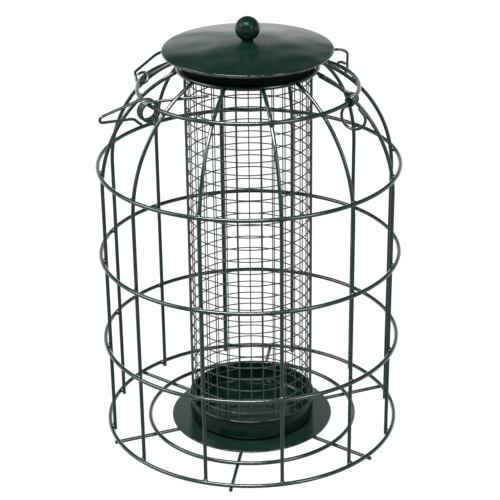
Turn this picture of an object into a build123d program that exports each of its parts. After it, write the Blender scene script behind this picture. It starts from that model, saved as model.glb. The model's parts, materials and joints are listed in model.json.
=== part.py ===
"""Squirrel proof bird feeder: a domed wire cage round a mesh nut tube, with a lift-off lid.

The origin is the middle of the foot: Z is up from the surface that the feeder stands on,
the front is -Y, and an angle is counted from the front towards +X.
"""

import os
from math import acos, asin, cos, degrees, radians, sin, sqrt, tan

from build123d import *

os.makedirs("parts", exist_ok=True)

# Cage wires
hoop_radius = 95.0
hoop_wire = 2.6
hoop_spacing = 60.0
rib_wire = 2.4
rib_count = 12
first_rib_angle = 11.5
rib_lean = 0.3
rib_foot_drop = 2.2
shoulder_height = 168.0
dome_bend_radius = 80.0
dome_hoop_radius = 68.5
weld_gap = 0.05

# Floor of the cage
inner_hoop_radius = 68.0
spoke_wire = 2.4
spoke_count = 6
first_spoke_angle = -8.2
spoke_overhang = 1.5
spoke_inner_radius = 24.0
tray_radius = 53.2
tray_thickness = 1.0
tray_edge_round = 0.3

# Cup at the foot of the tube
cup_radius = 41.0
cup_wall = 0.7
cup_height = 14.6
cup_foot_round = 4.0
cup_bead_radius = 0.7
rivet_circle_radius = 15.0
rivet_radius = 1.6
rivet_head_radius = 3.2
rivet_head_height = 1.1
rivet_head_round = 0.8
rivet_count = 3
rivet_clearance = 0.05

# Mesh tube: its hoops are drawn many sided, which looks round at their size
mesh_wire = 0.7
mesh_hoop_sides = 8
mesh_upright_count = 32
mesh_pitch = 8.3
tube_clearance = 0.35
tube_band_thickness = 0.5
tube_band_height = 14.5

# Lid
lid_radius = 53.0
lid_sheet = 0.8
lid_rise = 4.6
lid_bead_radius = 1.1
lid_rim_rise = 11.6
skirt_clearance = 0.4
skirt_sheet = 0.6
skirt_height = 13.6
lid_seat_gap = 0.2
top_hoop_clearance = 0.5
knob_radius = 7.6
knob_neck_radius = 3.6
knob_neck_height = 1.0
screw_radius = 2.0
screw_depth = 8.0
screw_clearance = 0.05
screw_head_radius = 3.8
screw_head_height = 2.4
screw_head_round = 0.8
screw_slot_width = 1.0
screw_slot_depth = 1.1
washer_radius = 6.0
washer_thickness = 0.8

# Bail handle, folded back behind the lid
bail_wire = 1.8
bail_left_angle = -104.5
bail_right_angle = 119.0
bail_fold_angle = 75.0
bail_eye_fold_angle = 47.0
bail_eye_radius = 3.9
bail_height = 48.0
bail_leg_start = 4.0
bail_left_corner_shares = [(-1.0, 0.15), (-0.75, 0.6)]
bail_right_corner_shares = [(0.6, 0.8), (0.83, 0.435), (1.05, 0.44)]
bail_shoulder_radius = 2.5
bail_bend_radius = 26.0
bail_crown_radius = 60.0
bail_dip_radius = 8.0
bail_curl_radius = 5.4
bail_eye_steps = 7

# Spring wire clips on the dome hoop: reach is outward from the hoop, and drop is below it
clip_wire = 1.8
clip_coil_gap = 0.4
clip_coil_pitch = 2.3
clip_bend_cut = 4.0
left_clip_angle = -61.0
left_coil_radius = 6.2
left_coil_turns = 3.0
left_arm_tip_angle = -33.0
left_arm_tip_radius = 43.1
left_arm_tip_drop = 6.5
left_loop_top = (28.8, 3.0)
left_loop_tip = (30.8, 5.0)
left_loop_under = (28.8, 7.0)
left_loop_back = (10.6, 8.2)
left_loop_end = (3.4, 13.0)
right_clip_angle = 65.4
right_coil_turns = 3.5
right_arm_tip_angle = 67.4
right_arm_tip_radius = 46.4
right_arm_tip_drop = 1.0
right_loop_inner = (-4.8, 8.6)
right_loop_bottom = (3.2, 17.0)
right_loop_outer = (10.6, 10.0)
right_loop_end = (6.4, 3.2)

# Bending: steps in a turn, points measured in each diameter of wire, and diameters left out
# between the two points whose gap is measured
turn_steps = 4
eye_turn_steps = 8
gap_points = 4
gap_skip = 3.2

# Share of one at which two directions count as the same
straight_share = 0.999999


def outward(angle):
    """Level direction away from the middle, at an angle counted from the front."""
    return Vector(sin(radians(angle)), -cos(radians(angle)), 0)


def along_hoop(angle):
    """Level direction along a hoop, the way its angle grows."""
    return Vector(cos(radians(angle)), sin(radians(angle)), 0)


def around(angle, radius, height):
    """Point at an angle from the front, a radius and a height."""
    return outward(angle) * radius + Vector(0, 0, height)


def radial_plane(angle):
    """Upright plane through the middle, with X outward and Y up."""
    return Plane(origin=(0, 0, 0), x_dir=outward(angle), z_dir=outward(angle).cross(Vector(0, 0, 1)))


def turned(direction, axis, angle):
    """A direction turned about an axis by the right hand rule."""
    along = axis * direction.dot(axis)
    across = direction - along
    return along + across * cos(radians(angle)) + axis.cross(across) * sin(radians(angle))


def bend(start, start_way, end, end_way):
    """Two tangent arcs, or a straight run, from one point and direction to another."""
    run = end - start
    straight = run.normalized()
    if straight.dot(start_way) > straight_share and straight.dot(end_way) > straight_share:
        Line(start, end)
        return
    ways = start_way + end_way
    spread = 1 - start_way.dot(end_way)
    if spread < 1 - straight_share:
        reach = run.dot(run) / (2 * run.dot(ways))
    else:
        reach = (-run.dot(ways) + sqrt(run.dot(ways) ** 2 + 2 * spread * run.dot(run))) / (2 * spread)
    leave = start + start_way * reach
    arrive = end - end_way * reach
    middle = (leave + arrive) * 0.5
    TangentArc(start, middle, tangent=start_way)
    TangentArc(middle, end, tangent=arrive - leave)


def wire_route(stations):
    """Middle line of a wire through a list of (point, direction) stations."""
    with BuildLine() as route:
        for (start, start_way), (end, end_way) in zip(stations, stations[1:]):
            bend(start, start_way, end, end_way)
    return route.wire()


def bent_wire(stations, diameter):
    """Round wire through a list of (point, direction) stations."""
    with BuildPart() as wire:
        with BuildSketch(Plane(origin=stations[0][0], z_dir=stations[0][1])):
            Circle(diameter / 2)
        sweep(path=wire_route(stations))
    return wire.part


def print_least_gap(stations, diameter, label):
    """Print the least gap between a wire and itself, measured on points along its middle."""
    route = wire_route(stations)
    count = round(route.length / diameter * gap_points)
    points = [route.position_at(number / count) for number in range(count + 1)]
    skip = round(gap_points * gap_skip)
    distances = []
    for number, point in enumerate(points):
        distances += [(point - other).length for other in points[number + skip:]]
    print(f"{label}: least gap {min(distances) - diameter:.2f} mm")


def hoop(radius, height, diameter):
    """Closed ring of round wire, welded end to end."""
    with BuildPart() as ring:
        with BuildSketch(Plane.XZ):
            with Locations((radius, height)):
                Circle(diameter / 2)
        revolve(axis=Axis.Z)
    return ring.part


def export(part, label):
    """Name a finished piece and write it."""
    part.label = label
    export_step(part, f"parts/{label}.step")


# Heights and radii that follow from the wires
hoop_height = spoke_wire + weld_gap + hoop_wire / 2
wire_offset = hoop_wire / 2 + rib_wire / 2 + weld_gap
rib_foot_radius = hoop_radius - wire_offset / cos(radians(rib_lean))
shoulder_level = hoop_height + shoulder_height
rib_shoulder_radius = rib_foot_radius + shoulder_height * tan(radians(rib_lean))
dome_centre_radius = rib_shoulder_radius - dome_bend_radius * cos(radians(rib_lean))
dome_centre_level = shoulder_level + dome_bend_radius * sin(radians(rib_lean))
dome_hoop_offset = dome_bend_radius + wire_offset
dome_hoop_turn = degrees(acos((dome_hoop_radius - dome_centre_radius) / dome_hoop_offset))
dome_hoop_level = dome_centre_level + dome_hoop_offset * sin(radians(dome_hoop_turn))

# The tube stands in the cup, its band fits in the skirt, and the top hoop goes round that
tray_level = spoke_wire + weld_gap
cup_level = tray_level + tray_thickness
upright_radius = cup_radius - cup_wall - tube_clearance - mesh_wire / 2
cup_inner_round = cup_foot_round - cup_wall
round_reach = upright_radius + mesh_wire / 2 - (cup_radius - cup_foot_round)
tube_level = cup_level + cup_foot_round - sqrt(cup_inner_round**2 - round_reach**2) + weld_gap
mesh_hoop_radius = upright_radius - mesh_wire - weld_gap
band_inner_radius = upright_radius + mesh_wire / 2 + weld_gap
band_outer_radius = band_inner_radius + tube_band_thickness
skirt_inner_radius = band_outer_radius + skirt_clearance
skirt_outer_radius = skirt_inner_radius + skirt_sheet
top_hoop_radius = skirt_outer_radius + top_hoop_clearance + hoop_wire / 2
top_hoop_turn = degrees(acos((top_hoop_radius - dome_centre_radius) / dome_bend_radius))
top_hoop_level = dome_centre_level + dome_bend_radius * sin(radians(top_hoop_turn))

# The lid is a shallow cap of a sphere, which sits on the top edge of the tube
rim_level = top_hoop_level + lid_rim_rise
apex_level = rim_level + lid_rise
cap_radius = (lid_radius**2 + lid_rise**2) / (2 * lid_rise)
cap_centre_level = apex_level - cap_radius


def underside_level(radius):
    """Height of the lid's inner face at a radius."""
    return cap_centre_level + sqrt((cap_radius - lid_sheet) ** 2 - radius**2)


tube_top_level = underside_level(band_outer_radius) - lid_seat_gap


def hoop_radius_at(level):
    """Radius of a hoop that lies outside the ribs at a height."""
    if level <= shoulder_level:
        return rib_foot_radius + (level - hoop_height) * tan(radians(rib_lean)) + wire_offset
    turn = asin((level - dome_centre_level) / dome_hoop_offset)
    return dome_centre_radius + dome_hoop_offset * cos(turn)


# Hoops of the cage
export(hoop(hoop_radius, hoop_height, hoop_wire), "base_hoop")
export(hoop(inner_hoop_radius, hoop_height, hoop_wire), "base_inner_hoop")
for step, label in enumerate(["lower_hoop", "middle_hoop", "shoulder_hoop"], start=1):
    level = hoop_height + step * hoop_spacing
    export(hoop(hoop_radius_at(level), level, hoop_wire), label)
export(hoop(dome_hoop_radius, dome_hoop_level, hoop_wire), "dome_hoop")
export(hoop(top_hoop_radius, top_hoop_level, hoop_wire), "top_hoop")


def cage_rib(angle):
    """Upright rib inside the hoops, bent over at the shoulder to meet the top hoop."""
    end_gap = degrees((hoop_wire / 2 + weld_gap) / dome_bend_radius)
    foot = (rib_foot_radius - rib_foot_drop * tan(radians(rib_lean)), hoop_height - rib_foot_drop)
    shoulder = (rib_shoulder_radius, shoulder_level)
    with BuildPart() as rib:
        with BuildLine(radial_plane(angle)) as route:
            upright = Line(foot, shoulder)
            lean = (shoulder[0] - foot[0], shoulder[1] - foot[1])
            JernArc(shoulder, lean, dome_bend_radius, top_hoop_turn + rib_lean - end_gap)
        with BuildSketch(Plane(origin=upright @ 0, z_dir=upright % 0)):
            Circle(rib_wire / 2)
        sweep(path=route.wire())
    return rib.part


for number in range(rib_count):
    rib_angle = first_rib_angle + number * 360 / rib_count
    export(cage_rib(rib_angle), f"rib_{number + 1:02d}")

# Spokes under the hoops, which carry the tray
with BuildPart() as spokes:
    for number in range(spoke_count):
        spoke_angle = first_spoke_angle + number * 360 / spoke_count
        spoke_start = around(spoke_angle, spoke_inner_radius, spoke_wire / 2)
        with BuildSketch(Plane(origin=spoke_start, z_dir=outward(spoke_angle))):
            Circle(spoke_wire / 2)
        extrude(amount=hoop_radius + spoke_overhang - spoke_inner_radius)
export(spokes.part, "base_spokes")

# Round tray on the spokes
rivet_places = [around(number * 360 / rivet_count, rivet_circle_radius, 0) for number in range(rivet_count)]
with BuildPart() as tray:
    with BuildSketch(Plane.XY.offset(tray_level)):
        Circle(tray_radius)
    extrude(amount=tray_thickness)
    fillet(tray.edges().filter_by(GeomType.CIRCLE), tray_edge_round)
    with BuildSketch(Plane.XY.offset(tray_level)):
        with Locations(*rivet_places):
            Circle(rivet_radius + rivet_clearance)
    extrude(amount=tray_thickness, mode=Mode.SUBTRACT)
export(tray.part, "tray")

# Open cup with a beaded rim, riveted to the tray
with BuildPart() as cup:
    with BuildSketch(Plane.XZ):
        with BuildLine():
            floor = Polyline(
                (0, cup_level + cup_wall),
                (0, cup_level),
                (cup_radius - cup_foot_round, cup_level),
            )
            foot_arc = JernArc(floor @ 1, (1, 0), cup_foot_round, 90)
            wall_top = (cup_radius, cup_level + cup_height)
            inner_foot = (cup_radius - cup_foot_round, cup_level + cup_wall)
            Polyline(
                foot_arc @ 1,
                wall_top,
                (cup_radius - cup_wall, wall_top[1]),
                (cup_radius - cup_wall, cup_level + cup_foot_round),
            )
            JernArc(inner_foot, (1, 0), cup_inner_round, 90)
            Line(inner_foot, floor @ 0)
        make_face()
        with Locations((cup_radius - cup_wall + cup_bead_radius, wall_top[1])):
            Circle(cup_bead_radius)
    revolve(axis=Axis.Z)
    with BuildSketch(Plane.XY.offset(cup_level)):
        with Locations(*rivet_places):
            Circle(rivet_radius + rivet_clearance)
    extrude(amount=cup_wall, mode=Mode.SUBTRACT)
export(cup.part, "seed_cup")

# Rivets through cup and tray
with BuildPart() as rivets:
    shank_start = tray_level - rivet_head_height
    for place in rivet_places:
        with BuildSketch(Plane.XY.offset(tray_level)):
            with Locations(place):
                Circle(rivet_radius)
        extrude(amount=tray_thickness + cup_wall)
        with BuildSketch(Plane.XY.offset(shank_start)):
            with Locations(place):
                Circle(rivet_head_radius)
        extrude(amount=rivet_head_height)
        with BuildSketch(Plane.XY.offset(cup_level + cup_wall)):
            with Locations(place):
                Circle(rivet_head_radius)
        extrude(amount=rivet_head_height)
    head_rims = rivets.edges().filter_by(GeomType.CIRCLE)
    outer_rims = head_rims.group_by(Axis.Z)[0] + head_rims.group_by(Axis.Z)[-1]
    fillet(outer_rims, rivet_head_round)
export(rivets.part, "cup_rivets")

# Welded square mesh: uprights outside, hoops inside
with BuildPart() as mesh_uprights:
    with BuildSketch(Plane.XY.offset(tube_level)):
        with PolarLocations(upright_radius, mesh_upright_count):
            Circle(mesh_wire / 2)
    extrude(amount=tube_top_level - tube_level)
export(mesh_uprights.part, "mesh_uprights")

mesh_hoop_count = int((tube_top_level - tube_level - 2 * mesh_wire) / mesh_pitch) + 1
first_mesh_hoop_level = tube_level + mesh_wire
with BuildPart() as mesh_hoops:
    with BuildSketch(Plane.XZ):
        for number in range(mesh_hoop_count):
            with Locations((mesh_hoop_radius, first_mesh_hoop_level + number * mesh_pitch)):
                half_side_turn = 180 / mesh_hoop_sides
                RegularPolygon(mesh_wire / 2, mesh_hoop_sides, major_radius=False, rotation=half_side_turn)
    revolve(axis=Axis.Z)
export(mesh_hoops.part, "mesh_hoops")

# Band round the top edge of the tube
with BuildPart() as tube_band:
    with BuildSketch(Plane.XY.offset(tube_top_level - tube_band_height)):
        Circle(band_outer_radius)
        Circle(band_inner_radius, mode=Mode.SUBTRACT)
    extrude(amount=tube_band_height)
export(tube_band.part, "tube_band")

# Lid cap with a rolled edge
bead_centre_radius = lid_radius - lid_bead_radius
with BuildPart() as lid_cap:
    with BuildSketch(Plane.XZ):
        with BuildLine():
            outer_edge = (bead_centre_radius, cap_centre_level + sqrt(cap_radius**2 - bead_centre_radius**2))
            inner_edge = (bead_centre_radius, underside_level(bead_centre_radius))
            hole_radius = screw_radius + screw_clearance
            outer_hole = (hole_radius, cap_centre_level + sqrt(cap_radius**2 - hole_radius**2))
            inner_hole = (hole_radius, underside_level(hole_radius))
            RadiusArc(outer_hole, outer_edge, cap_radius)
            Line(outer_edge, inner_edge)
            RadiusArc(inner_edge, inner_hole, lid_sheet - cap_radius)
            Line(inner_hole, outer_hole)
        make_face()
        with Locations((bead_centre_radius, outer_edge[1] - lid_bead_radius)):
            Circle(lid_bead_radius)
    revolve(axis=Axis.Z)
export(lid_cap.part, "lid_cap")

# Skirt under the lid, which goes over the tube's band and into the top hoop
skirt_top_level = underside_level(skirt_outer_radius) - weld_gap
with BuildPart() as lid_skirt:
    with BuildSketch(Plane.XY.offset(skirt_top_level - skirt_height)):
        Circle(skirt_outer_radius)
        Circle(skirt_inner_radius, mode=Mode.SUBTRACT)
    extrude(amount=skirt_height)
export(lid_skirt.part, "lid_skirt")

# Ball knob on a short neck, drilled for its screw
neck_level = cap_centre_level + sqrt(cap_radius**2 - screw_radius**2) + weld_gap
knob_level = neck_level + knob_neck_height + sqrt(knob_radius**2 - knob_neck_radius**2)
with BuildPart() as knob:
    with BuildSketch(Plane.XY.offset(neck_level)):
        Circle(knob_neck_radius)
    extrude(amount=knob_level - neck_level)
    with Locations((0, 0, knob_level)):
        Sphere(knob_radius)
    with BuildSketch(Plane.XY.offset(neck_level)):
        Circle(screw_radius + screw_clearance)
    extrude(amount=screw_depth + screw_clearance, mode=Mode.SUBTRACT)
export(knob.part, "ball_knob")

# Slotted screw and washer that hold the knob from inside the lid
washer_top_level = underside_level(washer_radius) - weld_gap
washer_level = washer_top_level - washer_thickness
with BuildPart() as washer:
    with BuildSketch(Plane.XY.offset(washer_level)):
        Circle(washer_radius)
        Circle(screw_radius + screw_clearance, mode=Mode.SUBTRACT)
    extrude(amount=washer_thickness)
export(washer.part, "knob_washer")

screw_head_level = washer_level - screw_head_height
with BuildPart() as screw:
    with BuildSketch(Plane.XY.offset(screw_head_level)):
        Circle(screw_head_radius)
    extrude(amount=screw_head_height)
    head_rim = screw.edges().filter_by(GeomType.CIRCLE).sort_by(Axis.Z)[0]
    fillet(head_rim, screw_head_round)
    with BuildSketch(Plane.XY.offset(washer_level)):
        Circle(screw_radius)
    extrude(amount=neck_level + screw_depth - washer_level)
    with BuildSketch(Plane.XY.offset(screw_head_level)):
        Rectangle(2 * screw_head_radius, screw_slot_width)
    extrude(amount=screw_slot_depth, mode=Mode.SUBTRACT)
export(screw.part, "knob_screw")

# Bail handle: its feet are eyes round the dome hoop, and it lies back from upright
left_foot = around(bail_left_angle, dome_hoop_radius, dome_hoop_level)
right_foot = around(bail_right_angle, dome_hoop_radius, dome_hoop_level)
bail_axis = (right_foot - left_foot).normalized()
bail_middle = (left_foot + right_foot) * 0.5
bail_up = turned(Vector(0, 0, 1), bail_axis, -bail_fold_angle)
bail_half_span = (right_foot - left_foot).length / 2 + bail_eye_radius
bail_plane = Plane(origin=bail_middle, x_dir=bail_axis, z_dir=bail_axis.cross(bail_up))


def bail_eye(foot, angle, side):
    """Stations round an eye, from the leg on its outer side to its open end."""
    hoop_way = along_hoop(angle) * side
    eye_axis = turned(hoop_way, bail_axis, -bail_eye_fold_angle)
    eye_side = (bail_axis - eye_axis * bail_axis.dot(eye_axis)).normalized() * side
    eye_up = turned(eye_side, eye_axis, -90 * side)
    if eye_up.dot(bail_up) < 0:
        eye_up = eye_up * -1
    stations = []
    for step in range(bail_eye_steps + 1):
        turn = radians(360 * step / eye_turn_steps)
        point = foot + (eye_side * cos(turn) - eye_up * sin(turn)) * bail_eye_radius
        way = eye_side * -sin(turn) - eye_up * cos(turn)
        stations.append((point, way))
    return stations


def bail_arch():
    """Stations along the arch from the left leg to the right one."""
    corner_shares = [*bail_left_corner_shares, (0, 1), *bail_right_corner_shares]
    corners = [(-bail_half_span, bail_leg_start)]
    corners += [(across * bail_half_span, up * bail_height) for across, up in corner_shares]
    corners += [(bail_half_span, bail_leg_start)]
    left_radii = [bail_shoulder_radius, bail_bend_radius]
    right_radii = [bail_bend_radius, bail_dip_radius, bail_curl_radius]
    with BuildLine(bail_plane) as arch:
        FilletPolyline(*corners, radius=[*left_radii, bail_crown_radius, *right_radii])
    edges = arch.wire().order_edges()
    stations = [(edges[0] @ 0, edges[0] % 0)]
    for edge in edges:
        stations.append((edge @ 1, edge % 1))
    return stations


left_eye = [(point, way * -1) for point, way in reversed(bail_eye(left_foot, bail_left_angle, -1))]
right_eye = bail_eye(right_foot, bail_right_angle, 1)
export(bent_wire(left_eye + bail_arch() + right_eye, bail_wire), "bail_handle")


def clip_coil(angle, coil_radius, turns):
    """Stations round a coil hung on the dome hoop, from its top outward and down."""
    coil_drop = coil_radius - clip_wire / 2 - clip_coil_gap - hoop_wire / 2
    middle = around(angle, dome_hoop_radius, dome_hoop_level - coil_drop)
    climb = clip_coil_pitch / radians(360)
    stations = []
    for step in range(round(turns * turn_steps) + 1):
        turn = 90 - 360 * step / turn_steps
        spoke = outward(angle) * cos(radians(turn)) + Vector(0, 0, sin(radians(turn)))
        round_way = outward(angle) * sin(radians(turn)) - Vector(0, 0, cos(radians(turn)))
        shift = clip_coil_pitch * (turns / 2 - step / turn_steps)
        point = middle + spoke * coil_radius + along_hoop(angle) * shift
        stations.append((point, (round_way * coil_radius - along_hoop(angle) * climb).normalized()))
    return stations


def loop_points(angle, turns, places):
    """Points of a finger loop beside the last turn of its coil."""
    shift = along_hoop(angle) * (-clip_coil_pitch * turns / 2)
    return [around(angle, dome_hoop_radius + reach, dome_hoop_level - drop) + shift for reach, drop in places]


def run_in(tip, coil_start):
    """Stations from a wire's tip to where it starts to bend into its coil."""
    corner = coil_start[0] - coil_start[1] * clip_bend_cut
    way = (corner - tip).normalized()
    return [(tip, way), (corner - way * clip_bend_cut, way)]


def run_out(coil_end, place):
    """Stations from where a wire has bent out of its coil to a place."""
    corner = coil_end[0] + coil_end[1] * clip_bend_cut
    way = (place - corner).normalized()
    return [(corner + way * clip_bend_cut, way), (place, way)]


# Left clip: its arm runs across the front of the tube, and its finger loop stands out of the cage
left_coil = clip_coil(left_clip_angle, left_coil_radius, left_coil_turns)
left_tip = around(left_arm_tip_angle, left_arm_tip_radius, top_hoop_level - left_arm_tip_drop)
left_places = [left_loop_top, left_loop_tip, left_loop_under, left_loop_back, left_loop_end]
loop_top, loop_tip, loop_under, loop_back, loop_end = loop_points(left_clip_angle, left_coil_turns, left_places)
back_way = (loop_back - loop_under).normalized()
left_stations = run_in(left_tip, left_coil[0]) + left_coil + run_out(left_coil[-1], loop_top)
left_stations += [
    (loop_tip, Vector(0, 0, -1)),
    (loop_under, back_way),
    (loop_back, back_way),
    (loop_end, (loop_end - loop_back).normalized()),
]
print_least_gap(left_stations, clip_wire, "left_clip")
export(bent_wire(left_stations, clip_wire), "left_clip")

# Right clip: its coil is wound close on the hoop, and its finger loop hangs inside the dome
right_coil_radius = hoop_wire / 2 + clip_coil_gap + clip_wire / 2
right_coil = clip_coil(right_clip_angle, right_coil_radius, right_coil_turns)
right_tip = around(right_arm_tip_angle, right_arm_tip_radius, top_hoop_level - right_arm_tip_drop)
right_places = [right_loop_inner, right_loop_bottom, right_loop_outer, right_loop_end]
loop_inner, loop_bottom, loop_outer, loop_end = loop_points(right_clip_angle, right_coil_turns, right_places)
right_stations = run_in(right_tip, right_coil[0]) + right_coil
right_stations += [
    (loop_inner, Vector(0, 0, -1)),
    (loop_bottom, outward(right_clip_angle)),
    (loop_outer, Vector(0, 0, 1)),
    (loop_end, (loop_end - loop_outer).normalized()),
]
print_least_gap(right_stations, clip_wire, "right_clip")
export(bent_wire(right_stations, clip_wire), "right_clip")
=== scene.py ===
"""Looks of the squirrel proof bird feeder: dark green paint on wire, mesh and pressed sheet.

Lengths are in metres. The origin is the middle of the foot, Z is up, and the front is -Y.
"""

import json
from math import cos, pi, radians, sin

import bpy
from mathutils import Matrix, Vector


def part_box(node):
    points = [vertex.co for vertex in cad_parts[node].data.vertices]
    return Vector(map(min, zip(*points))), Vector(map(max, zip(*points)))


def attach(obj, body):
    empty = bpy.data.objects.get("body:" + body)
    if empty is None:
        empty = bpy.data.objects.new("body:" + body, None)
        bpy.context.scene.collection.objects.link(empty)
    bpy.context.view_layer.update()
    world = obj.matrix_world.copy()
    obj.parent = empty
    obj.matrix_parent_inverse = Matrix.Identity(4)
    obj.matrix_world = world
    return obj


# Camera, from the ellipses of the cage's hoops
image_size = 500
focal_pixels = 1732.2
sensor_millimetres = 36
camera_place = (0.0, -1.016, 0.5838)
camera_pitch = radians(24.44)
camera_roll = radians(-0.67)
matrix_size = 4

# Studio: a pale floor, a wall behind that dims towards its top, and low walls far round it
floor_half_size = 4.0
far_wall_height = 1.0
backdrop_distance = 1.7
backdrop_height = 1.35
backdrop_bright_height = 0.43
backdrop_dim_height = 1.06
stage_white = 0.13
seen_white = 0.97
backdrop_top_white = 0.01
world_strength = 0.035

# Soft lamps
object_middle = (0.0, 0.0, 0.13)
key_place = (-0.30, -0.80, 1.80)
key_width = 1.20
key_depth = 0.42
key_power = 36.0
side_place = (-1.30, -0.15, 1.05)
side_width = 1.0
side_depth = 0.6
side_power = 9.0
fill_place = (1.0, -1.1, 1.0)
fill_width = 0.5
fill_depth = 0.9
fill_power = 7.0

# Welds where ribs cross hoops, and how the swell of their beads goes round
rib_count = 12
first_rib_angle = 11.5
hoop_wire_radius = 0.0013
hoop_names = ["base_hoop", "lower_hoop", "middle_hoop", "shoulder_hoop", "dome_hoop"]
weld_length = 0.0021
weld_width = 0.0014
weld_height = 0.0018
weld_rings = 8
weld_segments = 12
weld_swell_shares = [1.0, 0.82, 1.12, 0.92, 1.05, 0.88]
weld_swell_step = 5
full_turn = 360

# Paint colours, as linear red, green and blue
wire_green = (0.0050, 0.0290, 0.0205)
lid_green = (0.0045, 0.0225, 0.0145)
tray_green = (0.0080, 0.0330, 0.0220)
fixing_green = (0.0120, 0.0360, 0.0260)
cup_green = (0.0028, 0.0200, 0.0140)
ball_green = (0.0030, 0.0190, 0.0120)
# Near black for the skirt under the lid's rim: painted shade over the green paint
skirt_painted_shade_colour = (0.0007, 0.0012, 0.0010)
mesh_green = (0.0620, 0.0820, 0.0700)
worn_green = (0.0140, 0.0430, 0.0320)
# Pale grey for specks on upward faces: dust, and partly a painted highlight on the wires' tops
dust_and_highlight_grey = (0.1500, 0.1650, 0.1550)

# Marks in the paint: sizes of patches and specks, and the noise levels that they start and end at
patch_size = 0.012
patch_detail = 4
patch_start = 0.42
patch_end = 0.72
patch_most_share = 0.5
speck_size = 0.0016
speck_detail = 6
speck_start = 0.45
speck_end = 0.75
dust_and_highlight_least_rise = 0.35
peel_detail = 2
dent_size = 0.032
dent_detail = 1
bump_strength = 0.6
smooth_patch_share = 0.8
rough_patch_share = 1.3
rough_start = 0.3
rough_end = 0.7
coat_least_rise = 0.15
coat_full_rise = 0.5

# What each paint is like: its gloss, its orange peel, the pale dust specks on what faces up, which also
# paint a highlight there, and the clear coat on what faces up
paint_looks = {
    "wire_paint": {"colour": wire_green, "roughness": 0.15, "specular": 0.3,
                   "peel_size": 0.0022, "peel_depth": 0.00003, "dust_and_highlight": 0.12,
                   "coat": 1.0, "coat_roughness": 0.20, "coat_ior": 1.9},
    "mesh_paint": {"colour": mesh_green, "roughness": 0.40, "specular": 0.35,
                   "peel_size": 0.0012, "peel_depth": 0.00004, "dust_and_highlight": 0.10},
    "lid_paint": {"colour": lid_green, "roughness": 0.16, "specular": 0.62,
                  "peel_size": 0.0030, "peel_depth": 0.00002, "dent_depth": 0.0026, "dust_and_highlight": 0.02},
    "tray_paint": {"colour": tray_green, "roughness": 0.20, "specular": 0.5,
                   "peel_size": 0.0030, "peel_depth": 0.00003, "dust_and_highlight": 0.10,
                   "coat": 1.0, "coat_roughness": 0.16, "coat_ior": 2.0},
    "cup_paint": {"colour": cup_green, "roughness": 0.20, "specular": 0.10,
                  "peel_size": 0.0030, "peel_depth": 0.00004, "dust_and_highlight": 0.05,
                  "coat": 1.0, "coat_roughness": 0.05, "coat_ior": 1.6},
    # The skirt's dark, rough, low-gloss paint is painted shade under the lid's rim
    "skirt_painted_shade": {"colour": skirt_painted_shade_colour, "roughness": 0.55, "specular": 0.06,
                    "peel_size": 0.0030, "peel_depth": 0.00003, "dust_and_highlight": 0.0},
    "ball_paint": {"colour": ball_green, "roughness": 0.25, "specular": 0.18,
                   "peel_size": 0.0030, "peel_depth": 0.00002, "dust_and_highlight": 0.03},
    "fixing_paint": {"colour": fixing_green, "roughness": 0.35, "specular": 0.4,
                     "peel_size": 0.0012, "peel_depth": 0.00005, "dust_and_highlight": 0.10},
}
slot_paints = {
    "green_wire": "wire_paint",
    "green_mesh": "mesh_paint",
    "green_sheet": "cup_paint",
    "green_ball": "ball_paint",
    "zinc_fixing": "fixing_paint",
}
# The lid's skirt gets the paint with the painted shade
node_paints = {"lid_cap": "lid_paint", "tray": "tray_paint", "lid_skirt": "skirt_painted_shade"}

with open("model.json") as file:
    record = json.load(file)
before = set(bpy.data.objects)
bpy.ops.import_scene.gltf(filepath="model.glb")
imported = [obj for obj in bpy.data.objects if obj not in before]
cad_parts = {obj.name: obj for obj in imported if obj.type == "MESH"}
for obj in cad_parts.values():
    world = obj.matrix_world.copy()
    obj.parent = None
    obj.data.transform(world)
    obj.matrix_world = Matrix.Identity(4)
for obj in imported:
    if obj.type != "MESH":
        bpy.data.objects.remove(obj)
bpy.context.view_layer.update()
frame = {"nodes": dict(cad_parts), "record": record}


def outward(angle):
    """Level direction away from the middle, at an angle in degrees from the front."""
    return Vector((sin(radians(angle)), -cos(radians(angle)), 0))


def set_inputs(node, **values):
    """Set a node's sockets by name, with underscores for spaces."""
    for name, value in values.items():
        node.inputs[name.replace("_", " ")].default_value = value


def noise(nodes, links, place, size, detail):
    """Noise whose blotches are about one size across."""
    texture = nodes.new("ShaderNodeTexNoise")
    set_inputs(texture, Scale=1 / size, Detail=detail)
    links.new(place.outputs["Object"], texture.inputs["Vector"])
    return texture.outputs["Fac"]


def remap(nodes, links, source, low, high, new_low, new_high):
    """Stretch one range of a value to another one."""
    node = nodes.new("ShaderNodeMapRange")
    set_inputs(node, From_Min=low, From_Max=high, To_Min=new_low, To_Max=new_high)
    links.new(source, node.inputs["Value"])
    return node.outputs["Result"]


def combine(nodes, links, operation, first, second):
    """Two values put together by a named operation."""
    node = nodes.new("ShaderNodeMath")
    node.operation = operation
    links.new(first, node.inputs[0])
    links.new(second, node.inputs[1])
    return node.outputs["Value"]


def blend_colours(nodes, links, share, first, second):
    """Mix of two colours, or of a colour socket and a colour."""
    node = nodes.new("ShaderNodeMix")
    node.data_type = "RGBA"
    links.new(share, node.inputs["Factor"])
    if isinstance(first, tuple):
        node.inputs["A"].default_value = (*first, 1)
    else:
        links.new(first, node.inputs["A"])
    node.inputs["B"].default_value = (*second, 1)
    return node.outputs["Result"]


def node_tree(material):
    """Nodes and links of a material that uses them."""
    material.use_nodes = True
    return material.node_tree.nodes, material.node_tree.links


def height_of(nodes, links, source, output):
    """Upward part of one of a node's vectors."""
    split = nodes.new("ShaderNodeSeparateXYZ")
    links.new(source.outputs[output], split.inputs["Vector"])
    return split.outputs["Z"]


def bump(nodes, links, heights, depth):
    """Bump node for heights that differ by up to a depth."""
    node = nodes.new("ShaderNodeBump")
    set_inputs(node, Strength=bump_strength, Distance=depth)
    links.new(heights, node.inputs["Height"])
    return node


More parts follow.
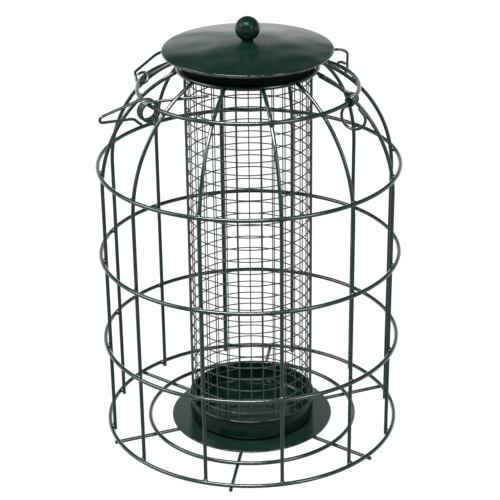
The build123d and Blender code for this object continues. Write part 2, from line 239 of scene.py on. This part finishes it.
def paint(name, look):
    """Green paint with uneven colour and gloss, orange peel, pale dust specks that also paint a highlight
    on what faces up, and a clear coat on what faces up.
    """
    material = bpy.data.materials.new(name)
    nodes, links = node_tree(material)
    shader = nodes["Principled BSDF"]
    place = nodes.new("ShaderNodeTexCoord")
    patches = noise(nodes, links, place, patch_size, patch_detail)
    patch_share = remap(nodes, links, patches, patch_start, patch_end, 0, patch_most_share)
    painted = blend_colours(nodes, links, patch_share, look["colour"], worn_green)
    # Paler grey specks on upward faces: dust, and partly a painted highlight on the tops
    rise = height_of(nodes, links, nodes.new("ShaderNodeNewGeometry"), "Normal")
    upward = remap(nodes, links, rise, dust_and_highlight_least_rise, 1, 0, 1)
    specks = noise(nodes, links, place, speck_size, speck_detail)
    speck_share = remap(nodes, links, specks, speck_start, speck_end, 0, look["dust_and_highlight"])
    dust_and_highlight_share = combine(nodes, links, "MULTIPLY", upward, speck_share)
    links.new(blend_colours(nodes, links, dust_and_highlight_share, painted, dust_and_highlight_grey), shader.inputs["Base Color"])
    smooth = look["roughness"] * smooth_patch_share
    rough = look["roughness"] * rough_patch_share
    roughness = remap(nodes, links, patches, rough_start, rough_end, smooth, rough)
    links.new(roughness, shader.inputs["Roughness"])
    set_inputs(shader, Specular_IOR_Level=look["specular"])
    if "coat" in look:
        set_inputs(shader, Coat_Roughness=look["coat_roughness"], Coat_IOR=look["coat_ior"])
        coat = remap(nodes, links, rise, coat_least_rise, coat_full_rise, 0, look["coat"])
        links.new(coat, shader.inputs["Coat Weight"])
    peel = noise(nodes, links, place, look["peel_size"], peel_detail)
    bumps = bump(nodes, links, peel, look["peel_depth"])
    if "dent_depth" in look:
        dents = bump(nodes, links, noise(nodes, links, place, dent_size, dent_detail), look["dent_depth"])
        links.new(dents.outputs["Normal"], bumps.inputs["Normal"])
    links.new(bumps.outputs["Normal"], shader.inputs["Normal"])
    return material


def paint_nodes():
    """Give each CAD node its own paint, or else the one of its material slot."""
    paints = {name: paint(name, look) for name, look in paint_looks.items()}
    for entry in frame["record"]["subparts"]:
        name = node_paints.get(entry["node"], slot_paints[entry["material_slot"]])
        mesh = frame["nodes"][entry["node"]].data
        mesh.materials.clear()
        mesh.materials.append(paints[name])
    return paints


def hoop_circle(name):
    """Radius and height of the middle line of a hoop's wire."""
    low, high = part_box(name)
    return (high.x - low.x) / 2 - hoop_wire_radius, (high.z + low.z) / 2


def weld_bead(mesh_points, mesh_faces, middle, along, normal, swell):
    """Add one closed, flattened blob of weld between two crossing wires."""
    across = along.cross(normal)
    outer_pole = len(mesh_points)
    mesh_points.append(middle + normal * weld_width)
    for ring in range(1, weld_rings):
        tilt = pi * ring / weld_rings
        for segment in range(weld_segments):
            turn = 2 * pi * segment / weld_segments
            reach = along * (weld_length * swell * sin(tilt) * cos(turn))
            rise = across * (weld_height * swell * sin(tilt) * sin(turn))
            mesh_points.append(middle + reach + rise + normal * (weld_width * cos(tilt)))
    inner_pole = len(mesh_points)
    mesh_points.append(middle - normal * weld_width)
    first_ring = outer_pole + 1
    last_ring = inner_pole - weld_segments
    for segment in range(weld_segments):
        beside = (segment + 1) % weld_segments
        mesh_faces.append((outer_pole, first_ring + beside, first_ring + segment))
        mesh_faces.append((last_ring + segment, last_ring + beside, inner_pole))
        for low in range(first_ring, last_ring, weld_segments):
            high = low + weld_segments
            mesh_faces.append((low + segment, low + beside, high + beside, high + segment))


def weld_beads(material):
    """Beads of weld where the ribs cross the hoops, under the paint."""
    points = []
    faces = []
    for hoop_name in hoop_names:
        radius, height = hoop_circle(hoop_name)
        for number in range(rib_count):
            angle = first_rib_angle + number * full_turn / rib_count
            hoop_point = outward(angle) * radius + Vector((0, 0, height))
            rib = frame["nodes"][f"rib_{number + 1:02d}"]
            _, rib_point, _, _ = rib.closest_point_on_mesh(hoop_point)
            normal = (hoop_point - rib_point).normalized()
            middle = (rib_point + hoop_point - normal * hoop_wire_radius) / 2
            along = Vector((0, 0, 1)).cross(outward(angle)).normalized()
            pick = (number * weld_swell_step + len(hoop_name)) % len(weld_swell_shares)
            weld_bead(points, faces, middle, along, normal, weld_swell_shares[pick])
    mesh = bpy.data.meshes.new("weld_beads")
    mesh.from_pydata(points, [], faces)
    mesh.polygons.foreach_set("use_smooth", [True] * len(mesh.polygons))
    mesh.materials.append(material)
    beads = bpy.data.objects.new("weld_beads", mesh)
    bpy.context.scene.collection.objects.link(beads)
    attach(beads, "cage")


def stage_material(name, low_white, high_white):
    """Surface that the camera, gloss and glass see as white, and that may dim towards its top."""
    material = bpy.data.materials.new(name)
    nodes, links = node_tree(material)
    nodes.clear()
    output = nodes.new("ShaderNodeOutputMaterial")
    matt = nodes.new("ShaderNodeBsdfDiffuse")
    set_inputs(matt, Color=(stage_white, stage_white, stage_white, 1))
    glow = nodes.new("ShaderNodeEmission")
    rays = nodes.new("ShaderNodeLightPath")
    glossy = rays.outputs["Is Glossy Ray"]
    through = rays.outputs["Is Transmission Ray"]
    mirrored = combine(nodes, links, "MAXIMUM", glossy, through)
    seen = combine(nodes, links, "MAXIMUM", rays.outputs["Is Camera Ray"], mirrored)
    level = height_of(nodes, links, nodes.new("ShaderNodeTexCoord"), "Object")
    white = remap(nodes, links, level, backdrop_bright_height, backdrop_dim_height, low_white, high_white)
    links.new(combine(nodes, links, "MULTIPLY", seen, white), glow.inputs["Strength"])
    both = nodes.new("ShaderNodeAddShader")
    links.new(matt.outputs["BSDF"], both.inputs[0])
    links.new(glow.outputs["Emission"], both.inputs[1])
    links.new(both.outputs["Shader"], output.inputs["Surface"])
    return material


def stage_sheet(name, corners, material):
    """Flat four cornered piece of the studio."""
    mesh = bpy.data.meshes.new(name)
    mesh.from_pydata(corners, [], [(0, 1, 2, 3)])
    mesh.materials.append(material)
    sheet = bpy.data.objects.new(name, mesh)
    bpy.context.scene.collection.objects.link(sheet)


def stage_wall(name, start, end, height, material):
    """Upright wall from one place on the floor to another."""
    corners = [(*start, 0), (*end, 0), (*end, height), (*start, height)]
    stage_sheet(name, corners, material)


def studio():
    """Pale floor, a backdrop behind the object, and low walls at the floor's other three edges."""
    half = floor_half_size
    even = stage_material("floor_white", seen_white, seen_white)
    dimming = stage_material("backdrop_white", seen_white, backdrop_top_white)
    stage_sheet("floor", [(-half, -half, 0), (half, -half, 0), (half, half, 0), (-half, half, 0)], even)
    back = backdrop_distance
    stage_wall("backdrop", (-half, back), (half, back), backdrop_height, dimming)
    stage_wall("front_wall", (-half, -half), (half, -half), far_wall_height, even)
    stage_wall("left_wall", (-half, -half), (-half, half), far_wall_height, even)
    stage_wall("right_wall", (half, -half), (half, half), far_wall_height, even)


def soft_lamp(name, place, width, depth, power):
    """Oblong soft lamp that faces the object."""
    data = bpy.data.lights.new(name, "AREA")
    data.shape = "RECTANGLE"
    data.size = width
    data.size_y = depth
    data.energy = power
    lamp = bpy.data.objects.new(name, data)
    lamp.location = place
    lamp.rotation_euler = (Vector(place) - Vector(object_middle)).to_track_quat("Z", "Y").to_euler()
    bpy.context.scene.collection.objects.link(lamp)


def world_light():
    """Even faint light from all round."""
    world = bpy.data.worlds.new("studio")
    bpy.context.scene.world = world
    world.use_nodes = True
    set_inputs(world.node_tree.nodes["Background"], Color=(1, 1, 1, 1), Strength=world_strength)


def camera():
    """Camera at the photograph's place, pitch and roll."""
    data = bpy.data.cameras.new("camera")
    data.sensor_width = sensor_millimetres
    data.lens = sensor_millimetres * focal_pixels / image_size
    view = bpy.data.objects.new("camera", data)
    pitch = Matrix.Rotation(pi / 2 - camera_pitch, matrix_size, "X")
    roll = Matrix.Rotation(camera_roll, matrix_size, "Z")
    view.matrix_world = Matrix.Translation(camera_place) @ pitch @ roll
    bpy.context.scene.collection.objects.link(view)
    bpy.context.scene.camera = view


paints = paint_nodes()
weld_beads(paints["wire_paint"])
studio()
soft_lamp("key_lamp", key_place, key_width, key_depth, key_power)
soft_lamp("side_lamp", side_place, side_width, side_depth, side_power)
soft_lamp("fill_lamp", fill_place, fill_width, fill_depth, fill_power)
world_light()
camera()
bpy.context.scene.view_settings.view_transform = "Standard"
